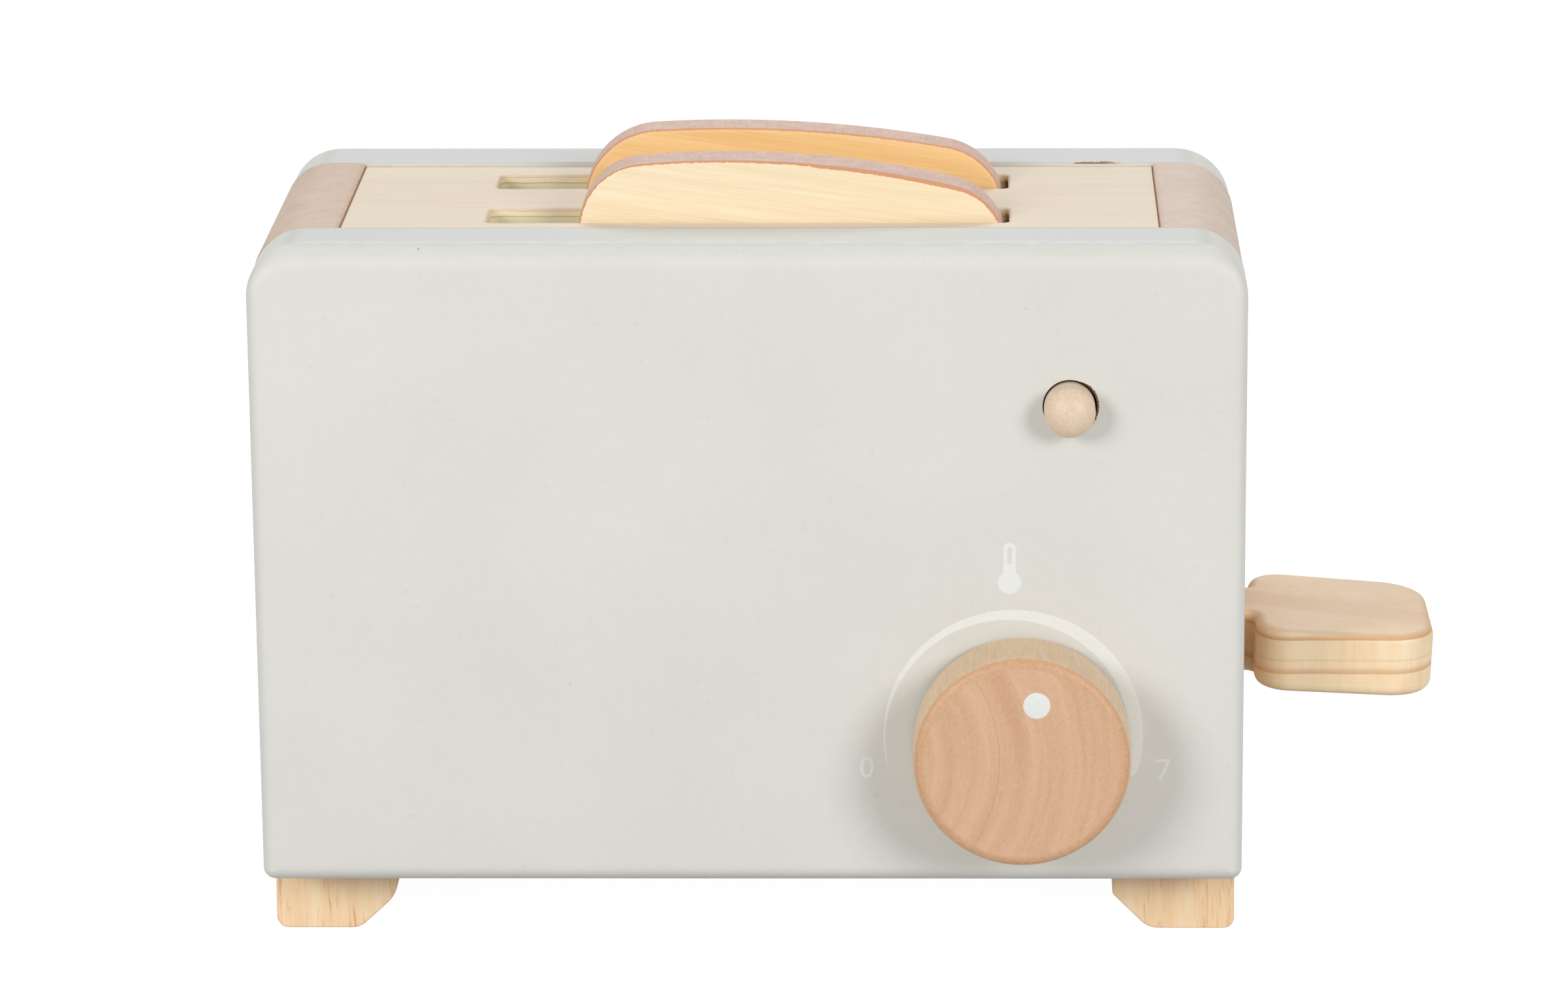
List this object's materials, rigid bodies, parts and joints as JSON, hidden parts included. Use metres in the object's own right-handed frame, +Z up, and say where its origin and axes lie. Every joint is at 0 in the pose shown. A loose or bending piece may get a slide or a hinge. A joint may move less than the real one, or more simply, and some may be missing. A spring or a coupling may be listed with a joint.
{
  "type": "toy toaster",
  "caption": "Wooden toy toaster: painted front and back, bread slices on a sprung shelf lowered by a side lever, a button that works the latch, and a turning knob.",
  "frame": {"origin": "on the table, under the middle of the overall box with lever and knob", "axes": "+X towards the lever's end, +Y from the knob's side to the back, +Z up"},
  "size_m": [0.2227, 0.104, 0.1486],
  "materials": {
    "grey_paint": "satin paint on birch plywood",
    "end_wood": "clear matt lacquer",
    "foot_wood": "clear matt lacquer",
    "board_wood": "bare plywood",
    "lever_wood": "clear matt lacquer",
    "knob_wood": "clear matt lacquer",
    "pale_bread": "matt paint",
    "toasted_bread": "matt paint",
    "steel": "bright zinc plating"
  },
  "bodies": {
    "case": {"front_panel": "grey_paint", "back_panel": "grey_paint", "left_end_block": "end_wood", "right_end_block": "end_wood", "top_board": "board_wood", "base_board": "board_wood", "top_board_cleats": "board_wood", "left_foot": "foot_wood", "right_foot": "foot_wood", "left_guide_rod": "steel", "right_guide_rod": "steel", "left_lift_spring": "steel", "right_lift_spring": "steel", "latch_bracket": "end_wood", "latch_pin": "steel", "latch_spring": "steel"},
    "knob": {"knob": "knob_wood", "knob_axle": "end_wood", "knob_cross_pin": "end_wood"},
    "button": {"button": "lever_wood"},
    "latch": {"latch_lever": "end_wood"},
    "carriage": {"bread_shelf": "board_wood", "lever": "lever_wood", "lever_screws": "steel", "latch_plate": "steel"},
    "front_slice": {"front_slice": "pale_bread"},
    "back_slice": {"back_slice": "toasted_bread"}
  },
  "joints": [
    {"name": "knob_turn", "type": "hinge", "parent": "case", "child": "knob", "pos_m": [0.03196, -0.03695, 0.04257], "axis": [0, 1, 0], "continuous": true},
    {"name": "button_press", "type": "slide", "parent": "case", "child": "button", "axis": [0, 1, 0], "range_m": [0, 0.003], "stiffness_N_per_m": 300, "springref_m": -0.004},
    {"name": "latch_swing", "type": "hinge", "parent": "case", "child": "latch", "pos_m": [0.04047, -0.01135, 0.0922], "axis": [-1, 0, 0], "range_deg": [0, 12], "deforming": ["latch_spring"]},
    {"name": "carriage_slide", "type": "slide", "parent": "case", "child": "carriage", "axis": [0, 0, 1], "range_m": [-0.024, 0], "stiffness_N_per_m": 150, "springref_m": 0.012, "deforming": ["left_lift_spring", "right_lift_spring"]},
    {"name": "front_slice_lift", "type": "slide", "parent": "carriage", "child": "front_slice", "axis": [0, 0, 1], "range_m": [0, 0.088]},
    {"name": "back_slice_lift", "type": "slide", "parent": "carriage", "child": "back_slice", "axis": [0, 0, 1], "range_m": [0, 0.088]}
  ],
  "couplings": [
    {"joint": "latch_swing", "follows": "button_press", "rad_per_m": 68.493}
  ]
}
